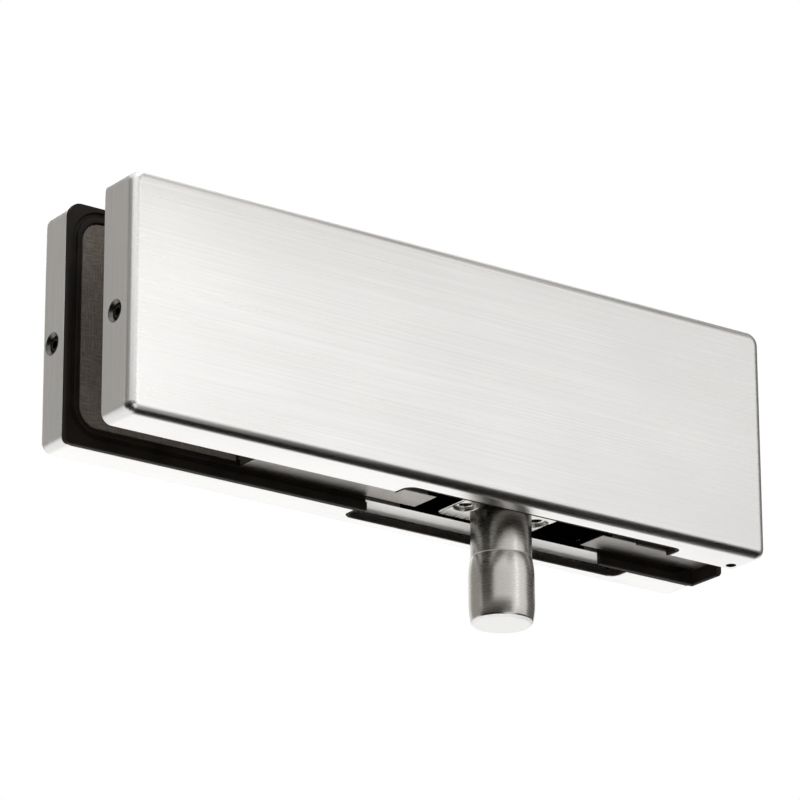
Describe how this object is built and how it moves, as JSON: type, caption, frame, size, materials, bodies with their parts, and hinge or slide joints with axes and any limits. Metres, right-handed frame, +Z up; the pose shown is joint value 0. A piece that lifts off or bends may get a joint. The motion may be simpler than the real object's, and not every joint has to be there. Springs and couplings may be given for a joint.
{
  "type": "over-panel glass door patch fitting",
  "caption": "Long rectangular clamp for the corner of a glass over-panel, two steel-covered halves with a gap for the glass and a crowned pivot pin hanging below.",
  "frame": {"origin": "on the pivot axis, in the middle plane of the glass, level with the underside of the covers", "axes": "+X along the fitting from the glass end towards the wall end, +Y from the front cover to the rear cover, +Z up, away from the door"},
  "size_m": [0.164, 0.0332, 0.073],
  "materials": {
    "brushed_stainless": "brushed along the length",
    "cast_aluminium": "die-cast, satin",
    "gasket_rubber": "moulded, matt",
    "fibre_pad": "pressed fibre, matt",
    "block_steel": "milled and zinc plated",
    "pin_steel": "turned and polished",
    "screw_steel": "black oxide"
  },
  "bodies": {
    "clamp": {"front_cover": "brushed_stainless", "rear_cover": "brushed_stainless", "front_half": "cast_aluminium", "rear_half": "cast_aluminium", "front_gasket": "gasket_rubber", "rear_gasket": "gasket_rubber", "front_pad": "fibre_pad", "rear_pad": "fibre_pad", "left_outer_clamp_screw": "screw_steel", "left_inner_clamp_screw": "screw_steel", "right_clamp_screw": "screw_steel", "left_outer_washer": "block_steel", "left_inner_washer": "block_steel", "right_washer": "block_steel", "front_left_cover_screw": "screw_steel", "front_right_cover_screw": "screw_steel", "rear_left_cover_screw": "screw_steel", "rear_right_cover_screw": "screw_steel"},
    "pin_carrier": {"pin_block": "block_steel", "pivot_pin": "pin_steel", "left_lock_screw": "block_steel", "right_lock_screw": "block_steel"}
  },
  "joints": [
    {"name": "pin_slide", "type": "slide", "parent": "clamp", "child": "pin_carrier", "axis": [1, 0, 0], "range_m": [-0.0059, 0.0131]}
  ]
}
